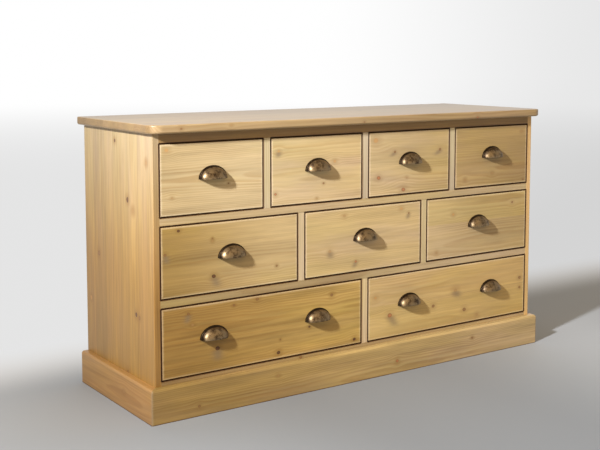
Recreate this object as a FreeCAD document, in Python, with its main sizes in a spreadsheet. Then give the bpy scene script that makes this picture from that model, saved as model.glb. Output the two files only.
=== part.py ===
import FreeCAD, Part
import math
import os
import re

# A pine merchant's chest: four drawers over three over two, with cup pulls, an overhanging top and a
# mitred plinth. X runs along the front, Y from the front to the back, Z up from the floor.
# The origin is on the floor, under the middle of the whole chest.

doc = FreeCAD.newDocument("ChestOfDrawers")

# Driving dimensions, in millimetres unless the note says otherwise
driving = {
    "CarcassWidth": (1500, "outside of the left side board to the outside of the right one"),
    "CarcassDepth": (472, "face of the front frame to the rear edge of the side boards"),
    "TopThickness": (25, "glued top board"),
    "TopOverhangSide": (20, "top beyond each side board"),
    "TopOverhangFront": (34, "top beyond the front frame"),
    "TopOverhangBack": (6, "top beyond the rear edge of the side boards"),
    "TopCornerRadius": (38, "front corners of the top, seen from above"),
    "TopUpperRound": (4, "upper arris of the top"),
    "TopUnderRound": (7, "lower arris of the top"),
    "SideThickness": (20, "side boards"),
    "SideLift": (6, "side boards' clearance above the floor"),
    "SideArris": (2.5, "rounding of the side boards' front corner"),
    "DividerWidth": (25, "upright between two drawers"),
    "RailHeight": (24, "cross rails between two rows of drawers"),
    "TopRailHeight": (28, "rail under the top"),
    "BottomRailHeight": (36, "lowest rail"),
    "BottomRailShow": (13, "part of the lowest rail that shows above the plinth"),
    "RailDepth": (70, "front rails and dividers, front to back"),
    "RearRailDepth": (40, "rear rails, front to back"),
    "RailTenon": (10, "tenon of a rail into a side board"),
    "DividerTenon": (8, "tenon of a divider into a rail"),
    "TenonShoulder": (6, "wood left round each tenon"),
    "EdgeEase": (1.5, "rounding along the front edges of rails and dividers"),
    "RowOpening": (211, "height of each row's drawer openings"),
    "PlinthHeight": (102, "plinth boards"),
    "PlinthThickness": (22, "plinth boards"),
    "PlinthTopRound": (8, "rounding along the top of the plinth"),
    "PlinthCornerRound": (5, "rounding of the plinth's mitred corners"),
    "PlinthBackThickness": (20, "board across the back of the base"),
    "BlockWidth": (30, "glue blocks behind the plinth, square"),
    "BlockHeight": (60, "glue blocks behind the plinth"),
    "BackThickness": (10, "tongued and grooved back boards"),
    "BackRebate": (10, "width of the rebate that takes the back boards"),
    "TongueLength": (5, "tongue of a back board"),
    "TongueThickness": (3.5, "tongue of a back board"),
    "TonguePlay": (0.3, "groove beyond the tongue, in width and in depth"),
    "BackBevel": (1.5, "bevel along the joints of the back boards"),
    "RunnerLip": (20, "part of a runner that carries one drawer side"),
    "RunnerHeight": (24, "drawer runners"),
    "GuideHeight": (20, "guide strips on the runners"),
    "StopLength": (40, "drawer stop blocks, along the rail"),
    "StopWidth": (12, "drawer stop blocks, front to back"),
    "StopHeight": (8, "drawer stop blocks"),
    "StopInset": (60, "drawer stop blocks, from the side of the opening"),
    "StopPlay": (0.3, "drawer front to its stop blocks"),
    "DrawerGap": (2.5, "gap round each drawer front"),
    "DrawerClearance": (12, "rear ends of the drawer sides to the back boards"),
    "DrawerFrontThickness": (22, "drawer fronts"),
    "DrawerArris": (3, "rounding round the face of a drawer front"),
    "DrawerSideThickness": (14, "drawer sides"),
    "DrawerBackThickness": (14, "drawer backs"),
    "DrawerBottomThickness": (6, "drawer bottoms"),
    "RunnerPlay": (0.3, "drawer side above its runner"),
    "KickerPlay": (2.7, "drawer side below the kicker above it"),
    "SocketDepth": (15, "dovetail tails let into the drawer front"),
    "PinWidth": (16, "wood between two dovetail tails, where they leave the front"),
    "DovetailSlope": (7, "dovetails widen by one in this number"),
    "BottomRise": (10, "groove for the drawer bottom above the side's lower edge"),
    "BottomGroove": (6, "depth of the groove for the drawer bottom"),
    "BottomPlay": (0.3, "groove beyond the drawer bottom, in height and at each edge"),
    "BackHousing": (5, "depth of the housing of a drawer back in the sides"),
    "BackInset": (12, "drawer back to the rear end of the drawer sides"),
    "BackDrop": (6, "drawer back below the upper edge of the sides"),
    "PullWidth": (95, "cup pull over its flange"),
    "PullHeight": (38, "cup pull over its flange"),
    "PullProjection": (27, "cup pull from the drawer front"),
    "PullWall": (2, "wall of the cup pull"),
    "PullFlange": (3.5, "width of the flange round the cup"),
    "PullFlangeThickness": (1.5, "flange round the cup"),
    "PullDrop": (3, "lower edge of the pull below the middle of the drawer front"),
    "ScrewSpacing": (64, "between the two screws of a pull"),
    "ScrewRise": (9, "screws above the lower edge of the pull"),
    "ScrewRadius": (2, "shank of a pull screw, over its corners"),
    "ScrewPlay": (0.3, "screw hole beyond the shank"),
    "ScrewBite": (8, "shank inside the boss of the pull"),
    "ScrewHeadRadius": (4, "head of a pull screw"),
    "ScrewHeadHeight": (2.5, "head of a pull screw"),
    "BossRadius": (4.5, "bosses inside the pull that take the screws"),
    "CutReach": (1, "cutting shapes beyond the piece they cut"),
}

# Lengths that follow from the driving ones
derived = {
    "InnerWidth": "CarcassWidth - 2 * SideThickness",
    "InnerLeft": "-CarcassWidth / 2 + SideThickness",
    "FaceY": "(TopOverhangFront - TopOverhangBack - CarcassDepth) / 2",
    "BackY": "FaceY + CarcassDepth",
    "BoardsY": "BackY - BackThickness",
    "RailBackY": "FaceY + RailDepth",
    "RearRailY": "BoardsY - RearRailDepth",
    "LevelC": "PlinthHeight + BottomRailShow",
    "LevelB": "LevelC + RowOpening + RailHeight",
    "LevelA": "LevelB + RowOpening + RailHeight",
    "UnderTop": "LevelA + RowOpening + TopRailHeight",
    "UnderRail": "LevelC - BottomRailHeight",
    "BayA": "(InnerWidth - 3 * DividerWidth) / 4",
    "BayB": "(InnerWidth - 2 * DividerWidth) / 3",
    "BayC": "(InnerWidth - DividerWidth) / 2",
    "FrontHeight": "RowOpening - 2 * DrawerGap",
    "DrawerBackY": "FaceY + DrawerFrontThickness",
    "DrawerEndY": "BoardsY - DrawerClearance",
    "TailFlare": "SocketDepth / DovetailSlope",
}

drawer_counts = {"a": 4, "b": 3, "c": 2}
tail_count = 4
back_board_count = 10
plinth_block_count = 5
cup_bands = 10
hollow_bands = 6
cup_fullness = 2.6  # roundness of the cup from above: 2 is an ellipse, more is squarer
screw_sides = 6

sheet = doc.addObject("Spreadsheet::Sheet", "Sizes")
for line, (alias, (number, note)) in enumerate(driving.items(), start=1):
    sheet.set(f"A{line}", alias)
    sheet.set(f"B{line}", str(number))
    sheet.setAlias(f"B{line}", alias)
    sheet.set(f"C{line}", note)
doc.recompute()


def full(formula):
    """A formula with each capitalised name led back to the sheet or to the derived lengths."""

    def owner(found):
        word = found.group()
        if word in driving:
            return "Sizes." + word
        if word in derived:
            return "Derived." + word
        raise KeyError(word)

    return re.sub(r"[A-Z][A-Za-z]+", owner, formula)


lengths = doc.addObject("App::VarSet", "Derived")
for name, formula in derived.items():
    lengths.addProperty("App::PropertyFloat", name)
    lengths.setExpression(name, full(formula))
doc.recompute()

sub_parts = []


def keep(node, thing):
    """Marks a finished object as the sub-part of this name."""
    thing.Label = node
    sub_parts.append(thing)
    return thing


def place(thing, x, y, z):
    for axis, formula in (("x", x), ("y", y), ("z", z)):
        thing.setExpression("Placement.Base." + axis, full(formula))


def span(ends):
    return full(f"({ends[1]}) - ({ends[0]})")


def block(name, x, y, z):
    """A plain squared piece between two formulas along each axis."""
    thing = doc.addObject("Part::Box", name)
    for size, ends in (("Length", x), ("Width", y), ("Height", z)):
        thing.setExpression(size, span(ends))
    place(thing, x[0], y[0], z[0])
    return thing


def board(name, x, y, z):
    """A squared board as a body, ready to be rounded along its edges."""
    body = doc.addObject("PartDesign::Body", name)
    blank = body.newObject("PartDesign::AdditiveBox", name + "_blank")
    for size, ends in (("Length", x), ("Width", y), ("Height", z)):
        blank.setExpression(size, span(ends))
    place(body, x[0], y[0], z[0])
    doc.recompute()
    return body


def in_plane(edge, outer, face):
    """True if an edge lies in the named outer face of the shape whose box is given."""
    slack = 0.01
    inner = edge.BoundBox
    tests = {
        "left": inner.XMax < outer.XMin + slack,
        "right": inner.XMin > outer.XMax - slack,
        "front": inner.YMax < outer.YMin + slack,
        "back": inner.YMin > outer.YMax - slack,
        "under": inner.ZMax < outer.ZMin + slack,
        "upper": inner.ZMin > outer.ZMax - slack,
    }
    return tests[face]


def edge_names(shape, lies_in, clear_of=()):
    """The edges that lie in every face of the first list and in none of the second."""
    names = []
    for number, edge in enumerate(shape.Edges, start=1):
        inside = all(in_plane(edge, shape.BoundBox, face) for face in lies_in)
        barred = any(in_plane(edge, shape.BoundBox, face) for face in clear_of)
        if inside and not barred:
            names.append(f"Edge{number}")
    return names


def dress(body, kind, size, formula, choices):
    """Rounds or bevels chosen edges of a body's latest feature."""
    base = body.Tip
    names = []
    for lies_in, clear_of in choices:
        names += edge_names(base.Shape, lies_in, clear_of)
    feature = body.newObject("PartDesign::" + kind, f"{body.Name}_{kind.lower()}")
    feature.Base = (base, names)
    feature.setExpression(size, full(formula))
    doc.recompute()
    return body


def round_over(body, radius, *choices):
    return dress(body, "Fillet", "Radius", radius, choices)


def bevel(body, width, *choices):
    return dress(body, "Chamfer", "Size", width, choices)


def join(name, pieces):
    thing = doc.addObject("Part::MultiFuse", name)
    thing.Shapes = pieces
    thing.Refine = True
    return thing


def group(name, pieces):
    thing = doc.addObject("Part::Compound", name)
    thing.Links = pieces
    return thing


def cut(name, base, tools):
    thing = doc.addObject("Part::Cut", name)
    thing.Base = base
    thing.Tool = tools[0] if len(tools) == 1 else group(name + "_tools", tools)
    return thing


def common(name, base, tool):
    thing = doc.addObject("Part::Common", name)
    thing.Base = base
    thing.Tool = tool
    return thing


def bay_left(row, place_in_row):
    """The left side of a drawer opening, counted from 0."""
    return f"InnerLeft + {place_in_row} * (Bay{row.upper()} + DividerWidth)"


def divider_left(row, place_in_row):
    """The left side of the divider at the right of an opening."""
    return f"{bay_left(row, place_in_row)} + Bay{row.upper()}"


def level(row):
    return "Level" + row.upper()


# Top: one glued board with rounded front corners, a small upper and a larger lower arris
def make_top():
    top = board(
        "top_board",
        ("-CarcassWidth / 2 - TopOverhangSide", "CarcassWidth / 2 + TopOverhangSide"),
        ("FaceY - TopOverhangFront", "BackY + TopOverhangBack"),
        ("UnderTop", "UnderTop + TopThickness"),
    )
    round_over(top, "TopCornerRadius", (("front", "left"), ()), (("front", "right"), ()))
    round_over(top, "TopUpperRound", (("upper",), ("back",)))
    round_over(top, "TopUnderRound", (("under",), ("back",)))
    keep("top", top)


# Each rail has one tongue block that runs through it and stands out at both ends as its tenons;
# the side boards are cut with the same block, so tenon and mortise always agree.
def rail_tongue(name, y, z):
    return block(
        name,
        ("InnerLeft - RailTenon", "-InnerLeft + RailTenon"),
        (f"{y[0]} + TenonShoulder", f"{y[1]} - TenonShoulder"),
        (f"{z[0]} + TenonShoulder", f"{z[1]} - TenonShoulder"),
    )


rail_heights = {
    "top": ("LevelA + RowOpening", "UnderTop"),
    "upper": ("LevelA - RailHeight", "LevelA"),
    "lower": ("LevelB - RailHeight", "LevelB"),
    "bottom": ("UnderRail", "LevelC"),
}
rail_under_row = {"a": "upper", "b": "lower", "c": "bottom"}
rail_over_row = {"a": "top", "b": "upper", "c": "lower"}
front_depth = ("FaceY", "RailBackY")
rear_depth = ("RearRailY", "BoardsY")


# Dividers: uprights flush with the rails, with a stub tenon into the rail above and the one below
def make_dividers():
    tongues = {rail: [] for rail in rail_heights}
    for row, count in drawer_counts.items():
        uprights = []
        for number in range(count - 1):
            left = divider_left(row, number)
            name = f"divider_{row}{number + 1}"
            upright = board(
                name,
                (left, f"{left} + DividerWidth"),
                front_depth,
                (level(row), f"{level(row)} + RowOpening"),
            )
            round_over(upright, "EdgeEase", (("front", "left"), ()), (("front", "right"), ()))
            tongue = block(
                name + "_tongue",
                (f"{left} + TenonShoulder", f"{left} + DividerWidth - TenonShoulder"),
                ("FaceY + TenonShoulder", "RailBackY - TenonShoulder"),
                (f"{level(row)} - DividerTenon", f"{level(row)} + RowOpening + DividerTenon"),
            )
            uprights.append(join(name + "_tenoned", [upright, tongue]))
            tongues[rail_under_row[row]].append(tongue)
            tongues[rail_over_row[row]].append(tongue)
        if len(uprights) == 1:
            keep(f"divider_row_{row}", uprights[0])
        else:
            keep(f"dividers_row_{row}", group(f"dividers_{row}", uprights))
    return tongues


# Front rails: eased along the face, tenoned into the sides and mortised for the dividers
def make_front_rails(divider_tongues):
    tongues = []
    for rail, z in rail_heights.items():
        strip = board(f"rail_{rail}_strip", ("InnerLeft", "-InnerLeft"), front_depth, z)
        round_over(strip, "EdgeEase", (("front", "upper"), ()), (("front", "under"), ()))
        tongue = rail_tongue(f"rail_{rail}_tongue", front_depth, z)
        tenoned = join(f"rail_{rail}_tenoned", [strip, tongue])
        keep(f"rail_{rail}", cut(f"rail_{rail}_mortised", tenoned, divider_tongues[rail]))
        tongues.append(tongue)
    return tongues


def make_rear_rails():
    tongues = []
    rails = []
    for rail, z in rail_heights.items():
        strip = block(f"rear_rail_{rail}_strip", ("InnerLeft", "-InnerLeft"), rear_depth, z)
        tongue = rail_tongue(f"rear_rail_{rail}_tongue", rear_depth, z)
        rails.append(join(f"rear_rail_{rail}", [strip, tongue]))
        tongues.append(tongue)
    keep("rear_rails", group("rear_rail_set", rails))
    return tongues


# Sides: glued boards with a rounded front corner, mortised for the rails and rebated for the back
def make_sides(tongues):
    rebate = block(
        "back_rebate",
        ("InnerLeft - BackRebate", "-InnerLeft + BackRebate"),
        ("BoardsY", "BackY"),
        ("UnderRail", "UnderTop"),
    )
    faces = {
        "left": ("-CarcassWidth / 2", "InnerLeft"),
        "right": ("-InnerLeft", "CarcassWidth / 2"),
    }
    for hand, x in faces.items():
        panel = board(f"side_{hand}_panel", x, ("FaceY", "BackY"), ("SideLift", "UnderTop"))
        round_over(panel, "SideArris", (("front", hand), ()))
        keep(f"side_{hand}", cut(f"side_{hand}_mortised", panel, tongues + [rebate]))


# Back: tongued and grooved boards in the rebates, bevelled along their joints on the outside
def make_back():
    width = f"(InnerWidth + 2 * BackRebate) / {back_board_count}"
    middle = "(BoardsY + BackY) / 2"
    boards = []
    for number in range(back_board_count):
        left = f"InnerLeft - BackRebate + {number} * {width}"
        right = f"InnerLeft - BackRebate + {number + 1} * {width}"
        name = f"back_board_{number + 1}"
        plank = board(name, (left, right), ("BoardsY", "BackY"), ("UnderRail", "UnderTop"))
        bevel(plank, "BackBevel", (("back", "left"), ()), (("back", "right"), ()))
        if number < back_board_count - 1:
            tongue = block(
                name + "_tongue",
                (f"{right} - BackBevel", f"{right} + TongueLength"),
                (f"{middle} - TongueThickness / 2", f"{middle} + TongueThickness / 2"),
                ("UnderRail", "UnderTop"),
            )
            plank = join(name + "_tongued", [plank, tongue])
        if number > 0:
            groove = block(
                name + "_groove",
                (f"{left} - CutReach", f"{left} + TongueLength + TonguePlay"),
                (
                    f"{middle} - (TongueThickness + TonguePlay) / 2",
                    f"{middle} + (TongueThickness + TonguePlay) / 2",
                ),
                ("UnderRail - CutReach", "UnderTop + CutReach"),
            )
            plank = cut(name + "_grooved", plank, [groove])
        boards.append(plank)
    keep("back_boards", group("back_board_set", boards))


# Runners under the drawers, guides between them and kickers over them, from rail to rail
def make_drawer_ways():
    depth = ("RailBackY", "RearRailY")
    guides = []
    kickers = []
    for row, count in drawer_counts.items():
        under = (f"{level(row)} - RunnerHeight", level(row))
        over = rail_heights[rail_over_row[row]]
        at_sides = {
            "left": ("InnerLeft", "InnerLeft + RunnerLip"),
            "right": ("-InnerLeft - RunnerLip", "-InnerLeft"),
        }
        runners = [block(f"runner_{row}_{hand}", x, depth, under) for hand, x in at_sides.items()]
        if row == "a":
            kickers += [block(f"kicker_{row}_{hand}", x, depth, over) for hand, x in at_sides.items()]
        for number in range(count - 1):
            left = divider_left(row, number)
            broad = (f"{left} - RunnerLip", f"{left} + DividerWidth + RunnerLip")
            runners.append(block(f"runner_{row}{number + 1}", broad, depth, under))
            kickers.append(block(f"kicker_{row}{number + 1}", broad, depth, over))
            guides.append(
                block(
                    f"guide_{row}{number + 1}",
                    (left, f"{left} + DividerWidth"),
                    depth,
                    (level(row), f"{level(row)} + GuideHeight"),
                )
            )
        keep(f"runners_row_{row}", group(f"runner_set_{row}", runners))
    keep("drawer_guides", group("guide_set", guides))
    keep("kickers", group("kicker_set", kickers))


# Stops: two small blocks on the rail behind each drawer front
def make_stops():
    stops = []
    for row, count in drawer_counts.items():
        for number in range(count):
            left = bay_left(row, number)
            right = f"{left} + Bay{row.upper()}"
            ends = {
                "left": (f"{left} + StopInset", f"{left} + StopInset + StopLength"),
                "right": (f"{right} - StopInset - StopLength", f"{right} - StopInset"),
            }
            for hand, x in ends.items():
                stops.append(
                    block(
                        f"stop_{row}{number + 1}_{hand}",
                        x,
                        ("DrawerBackY + StopPlay", "DrawerBackY + StopPlay + StopWidth"),
                        (level(row), f"{level(row)} + StopHeight"),
                    )
                )
    keep("drawer_stops", group("stop_set", stops))


# Plinth: one rounded ring shape, split by mitres at the front corners into three boards
def make_plinth():
    outer_left = "-CarcassWidth / 2 - PlinthThickness"
    outer_front = "FaceY - PlinthThickness"
    form = board(
        "plinth_form",
        (outer_left, f"-({outer_left})"),
        (outer_front, "BackY"),
        ("0", "PlinthHeight"),
    )
    round_over(form, "PlinthCornerRound", (("front", "left"), ()), (("front", "right"), ()))
    round_over(form, "PlinthTopRound", (("upper",), ("back",)))
    core = block(
        "plinth_core",
        ("-CarcassWidth / 2", "CarcassWidth / 2"),
        ("FaceY", "BackY + CutReach"),
        ("-CutReach", "PlinthHeight + CutReach"),
    )
    ring = cut("plinth_ring", form, [core])
    # the front board's own shape seen from above: as long as the plinth outside, the carcass inside
    reach = doc.addObject("Part::Wedge", "plinth_front_reach")
    bounds = {
        "Xmin": outer_left,
        "Xmax": f"-({outer_left})",
        "X2min": "-CarcassWidth / 2",
        "X2max": "CarcassWidth / 2",
        "Ymin": outer_front,
        "Ymax": "FaceY",
        "Zmin": "0",
        "Zmax": "PlinthHeight",
        "Z2min": "0",
        "Z2max": "PlinthHeight",
    }
    for name, formula in bounds.items():
        reach.setExpression(name, full(formula))
    keep("plinth_front", common("plinth_front_board", ring, reach))
    halves = {"left": (outer_left, "0"), "right": ("0", f"-({outer_left})")}
    for hand, x in halves.items():
        half = block(f"plinth_half_{hand}", x, (outer_front, "BackY"), ("0", "PlinthHeight"))
        branch = common(f"plinth_branch_{hand}", ring, half)
        keep(f"plinth_{hand}", cut(f"plinth_{hand}_board", branch, [reach]))
    back = block(
        "plinth_back_board",
        ("InnerLeft", "-InnerLeft"),
        ("BackY - PlinthBackThickness", "BackY"),
        ("0", "UnderRail"),
    )
    keep("plinth_back", back)
    blocks = []
    for number in range(plinth_block_count):
        left = f"InnerLeft + {number} * (InnerWidth - BlockWidth) / {plinth_block_count - 1}"
        blocks.append(
            block(
                f"plinth_block_{number + 1}",
                (left, f"{left} + BlockWidth"),
                ("FaceY", "FaceY + BlockWidth"),
                ("UnderRail - BlockHeight", "UnderRail"),
            )
        )
    keep("plinth_blocks", group("plinth_block_set", blocks))


def make_tails(name, left, row):
    """A column of dovetail tails, widest at their tips inside the drawer front."""
    pitch = f"FrontHeight / {tail_count}"
    half = f"({pitch} - PinWidth) / 2"
    tails = []
    for number in range(tail_count):
        tail = doc.addObject("Part::Wedge", f"{name}_{number + 1}")
        bounds = {
            "Xmin": "0",
            "X2min": "0",
            "Xmax": "DrawerSideThickness",
            "X2max": "DrawerSideThickness",
            "Ymin": "0",
            "Ymax": "SocketDepth",
            "Zmin": f"-({half}) - TailFlare",
            "Zmax": f"{half} + TailFlare",
            "Z2min": f"-({half})",
            "Z2max": half,
        }
        for size, formula in bounds.items():
            tail.setExpression(size, full(formula))
        middle = f"{level(row)} + DrawerGap + {number + 0.5} * {pitch}"
        place(tail, left, "DrawerBackY - SocketDepth", middle)
        tails.append(tail)
    return tails


def pull_spots(row, number):
    """The middle of each pull of a drawer. The lowest drawers have two, each under the middle of a
    top drawer, and the others have one in the middle."""
    if row == "c":
        return [f"{bay_left('a', 2 * number + half)} + BayA / 2" for half in (0, 1)]
    return [f"{bay_left(row, number)} + Bay{row.upper()} / 2"]


def pull_foot(row):
    return f"{level(row)} + RowOpening / 2 - PullDrop"


def make_screw_holes(drawer, row, number):
    """Two straight holes through the drawer front for each pull."""
    holes = []
    for order, middle in enumerate(pull_spots(row, number), start=1):
        for hand, sign in (("left", "-"), ("right", "+")):
            hole = doc.addObject("Part::Prism", f"{drawer}_hole_{order}_{hand}")
            hole.Polygon = screw_sides
            hole.setExpression("Circumradius", full("ScrewRadius + ScrewPlay"))
            hole.setExpression("Height", full("DrawerFrontThickness + 2 * CutReach"))
            hole.Placement.Rotation = FreeCAD.Rotation(FreeCAD.Vector(1, 0, 0), -90)
            x = f"{middle} {sign} ScrewSpacing / 2"
            place(hole, x, "FaceY - CutReach", f"{pull_foot(row)} + ScrewRise")
            holes.append(hole)
    return holes


# Drawer: a rounded front, two sides dovetailed into it, a housed back and a grooved-in bottom
def make_drawer(row, number):
    drawer = f"drawer_{row}{number + 1}"
    base = level(row)
    left = f"{bay_left(row, number)} + DrawerGap"
    right = f"{bay_left(row, number)} + Bay{row.upper()} - DrawerGap"
    foot = f"{base} + RunnerPlay"
    head = f"{base} + RowOpening - KickerPlay"
    panel_foot = f"{foot} + BottomRise"
    back_y = "DrawerEndY - BackInset"

    face = board(
        drawer + "_face",
        (left, right),
        ("FaceY", "DrawerBackY"),
        (f"{base} + DrawerGap", f"{base} + DrawerGap + FrontHeight"),
    )
    round_over(face, "DrawerArris", (("front",), ()))
    inner_left = f"{left} + DrawerSideThickness"
    inner_right = f"{right} - DrawerSideThickness"
    slot = block(
        drawer + "_slot",
        (f"{inner_left} - BottomGroove", f"{inner_right} + BottomGroove"),
        ("DrawerBackY - BottomGroove", "DrawerEndY + CutReach"),
        (panel_foot, f"{panel_foot} + DrawerBottomThickness + BottomPlay"),
    )
    back = block(
        drawer + "_back_board",
        (f"{inner_left} - BackHousing", f"{inner_right} + BackHousing"),
        (f"{back_y} - DrawerBackThickness", back_y),
        (f"{panel_foot} + DrawerBottomThickness + BottomPlay", f"{head} - BackDrop"),
    )
    side_y = ("DrawerBackY", "DrawerEndY")
    starts = {"left": (left, inner_left), "right": (inner_right, right)}
    sides = []
    sockets = [slot] + make_screw_holes(drawer, row, number)
    for hand, x in starts.items():
        tails = make_tails(f"{drawer}_tail_{hand}", x[0], row)
        plank = block(f"{drawer}_side_{hand}_plank", x, side_y, (foot, head))
        tailed = join(f"{drawer}_side_{hand}_tailed", [plank] + tails)
        sides.append(cut(f"{drawer}_side_{hand}", tailed, [slot, back]))
        sockets += tails
    keep(drawer + "_front", cut(drawer + "_front_socketed", face, sockets))
    keep(drawer + "_box", group(drawer + "_carcass", sides + [back]))
    bottom = block(
        drawer + "_bottom_panel",
        (f"{inner_left} - BottomGroove + BottomPlay", f"{inner_right} + BottomGroove - BottomPlay"),
        ("DrawerBackY - BottomGroove + BottomPlay", back_y),
        (panel_foot, f"{panel_foot} + DrawerBottomThickness"),
    )
    keep(drawer + "_bottom", bottom)


def turn_points(count, turn_over):
    """Cosine and sine of evenly spaced turns from 0 to the given one."""
    turns = [turn_over * step / count for step in range(count + 1)]
    return [(math.cos(turn), math.sin(turn)) for turn in turns]


def faceted_cup(half_width, height, projection, bands):
    """A cup in flat facets: every section along the wall is half an ellipse, and they shrink
    towards the front by one rounded profile, so the edges run parallel and each facet is flat."""
    one_point = 1e-6
    sections = []
    for out, share in turn_points(bands // 2, math.pi / 2):
        depth = -projection * abs(out) ** (2 / cup_fullness)
        size = share ** (2 / cup_fullness)
        sections.append(
            [
                FreeCAD.Vector(half_width * size * across, depth, height * size * up)
                for across, up in turn_points(bands, math.pi)
            ]
        )
    faces = [Part.Face(Part.makePolygon(sections[-1] + sections[-1][:1]))]
    rim = [ring[0] for ring in sections] + [ring[-1] for ring in sections[:0:-1]]
    faces.append(Part.Face(Part.makePolygon(rim + rim[:1])))
    for near, far in zip(sections[:-1], sections[1:]):
        for step in range(bands):
            corners = []
            for point in (near[step], near[step + 1], far[step + 1], far[step]):
                if not any(point.isEqual(other, one_point) for other in corners):
                    corners.append(point)
            faces.append(Part.Face(Part.makePolygon(corners + corners[:1])))
    solid = Part.makeSolid(Part.makeShell(faces))
    if solid.Volume < 0:
        solid.reverse()
    return solid.removeSplitter()


def flange_plate(half_width, height, thickness):
    """The plate behind the cup: half an ellipse in straight runs."""
    points = [
        FreeCAD.Vector(half_width * across, 0, height * up)
        for across, up in turn_points(cup_bands, math.pi)
    ]
    plate = Part.Face(Part.makePolygon(points + points[:1]))
    return plate.extrude(FreeCAD.Vector(0, -thickness, 0))


def stud(radius, x, start, length):
    """A six-sided stud along Y at the height of the screws, from start towards the back."""
    z = sheet.ScrewRise
    ring = [
        FreeCAD.Vector(x + radius * across, start, z + radius * up)
        for across, up in turn_points(screw_sides, 2 * math.pi)
    ]
    return Part.Face(Part.makePolygon(ring[:-1] + ring[:1])).extrude(FreeCAD.Vector(0, length, 0))


def pull_pieces():
    """A cup pull with its lower edge in Z 0 and its back in Y 0, open below and behind, and its two
    screws, which come through the drawer front into bosses inside the cup."""
    half_width = sheet.PullWidth / 2 - sheet.PullFlange
    height = sheet.PullHeight - sheet.PullFlange
    projection = sheet.PullProjection
    wall = sheet.PullWall
    cup = faceted_cup(half_width, height, projection, cup_bands)
    hollow = faceted_cup(half_width - wall, height - wall, projection - wall, hollow_bands)
    plate = flange_plate(sheet.PullWidth / 2, sheet.PullHeight, sheet.PullFlangeThickness)
    pull = cup.fuse(plate).cut(hollow)
    screws = []
    for x in (-sheet.ScrewSpacing / 2, sheet.ScrewSpacing / 2):
        boss = stud(sheet.BossRadius, x, -projection, projection).common(cup)
        length = sheet.ScrewBite + sheet.DrawerFrontThickness
        shank = stud(sheet.ScrewRadius, x, -sheet.ScrewBite, length)
        head = stud(sheet.ScrewHeadRadius, x, sheet.DrawerFrontThickness, sheet.ScrewHeadHeight)
        pull = pull.fuse(boss).cut(shank)
        screws.append(shank.fuse(head).removeSplitter())
    return [pull.removeSplitter()] + screws


def make_pulls(pieces):
    """A pull with its screws at every spot; all the pulls of a drawer are one sub-part."""
    for row, count in drawer_counts.items():
        for number in range(count):
            drawer = f"drawer_{row}{number + 1}"
            spots = pull_spots(row, number)
            pulls = []
            for order, middle in enumerate(spots, start=1):
                pull = doc.addObject("Part::Feature", f"{drawer}_cup_{order}")
                pull.Shape = Part.makeCompound(pieces)
                place(pull, middle, "FaceY", pull_foot(row))
                pulls.append(pull)
            if len(pulls) == 1:
                keep(drawer + "_pull", pulls[0])
            else:
                keep(drawer + "_pulls", group(drawer + "_cups", pulls))


make_top()
divider_tongues = make_dividers()
rail_tongues = make_front_rails(divider_tongues) + make_rear_rails()
make_sides(rail_tongues)
make_back()
make_drawer_ways()
make_stops()
make_plinth()
for row, count in drawer_counts.items():
    for number in range(count):
        make_drawer(row, number)
make_pulls(pull_pieces())
doc.recompute()

# Every object has to be sound before anything is written
for thing in doc.Objects:
    if "Invalid" in thing.State or "Error" in thing.State:
        raise RuntimeError(f"{thing.Name} is {thing.State}")
for thing in sub_parts:
    shape = thing.Shape
    if shape.isNull() or not shape.isValid() or not shape.Solids:
        raise RuntimeError(f"{thing.Label} has no sound solid")
    if min(solid.Volume for solid in shape.Solids) <= 0:
        raise RuntimeError(f"{thing.Label} holds an empty solid")

os.makedirs("parts", exist_ok=True)
for thing in sub_parts:
    thing.Shape.exportStep(f"parts/{thing.Label}.step")
    print(thing.Label, len(thing.Shape.Solids), "solids")
print(len(sub_parts), "sub-parts")
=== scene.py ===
import math

import bmesh
import bpy
import numpy as np
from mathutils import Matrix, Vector


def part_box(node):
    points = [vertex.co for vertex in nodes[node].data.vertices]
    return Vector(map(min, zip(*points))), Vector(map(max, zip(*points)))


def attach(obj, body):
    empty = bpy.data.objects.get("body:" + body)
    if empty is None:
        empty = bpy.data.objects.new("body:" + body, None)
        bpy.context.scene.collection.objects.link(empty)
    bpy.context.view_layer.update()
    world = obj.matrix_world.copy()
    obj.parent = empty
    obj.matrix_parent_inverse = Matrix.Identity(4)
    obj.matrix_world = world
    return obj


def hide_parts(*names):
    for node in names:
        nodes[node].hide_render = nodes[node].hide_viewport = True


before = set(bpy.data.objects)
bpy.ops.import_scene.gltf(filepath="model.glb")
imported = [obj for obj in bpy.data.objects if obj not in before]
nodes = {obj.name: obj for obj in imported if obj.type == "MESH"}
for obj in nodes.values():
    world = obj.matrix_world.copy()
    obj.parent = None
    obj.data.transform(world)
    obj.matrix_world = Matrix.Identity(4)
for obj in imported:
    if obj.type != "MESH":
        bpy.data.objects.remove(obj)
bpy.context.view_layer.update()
mm = 0.001
print("frame loaded,", len(nodes), "nodes")


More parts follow.
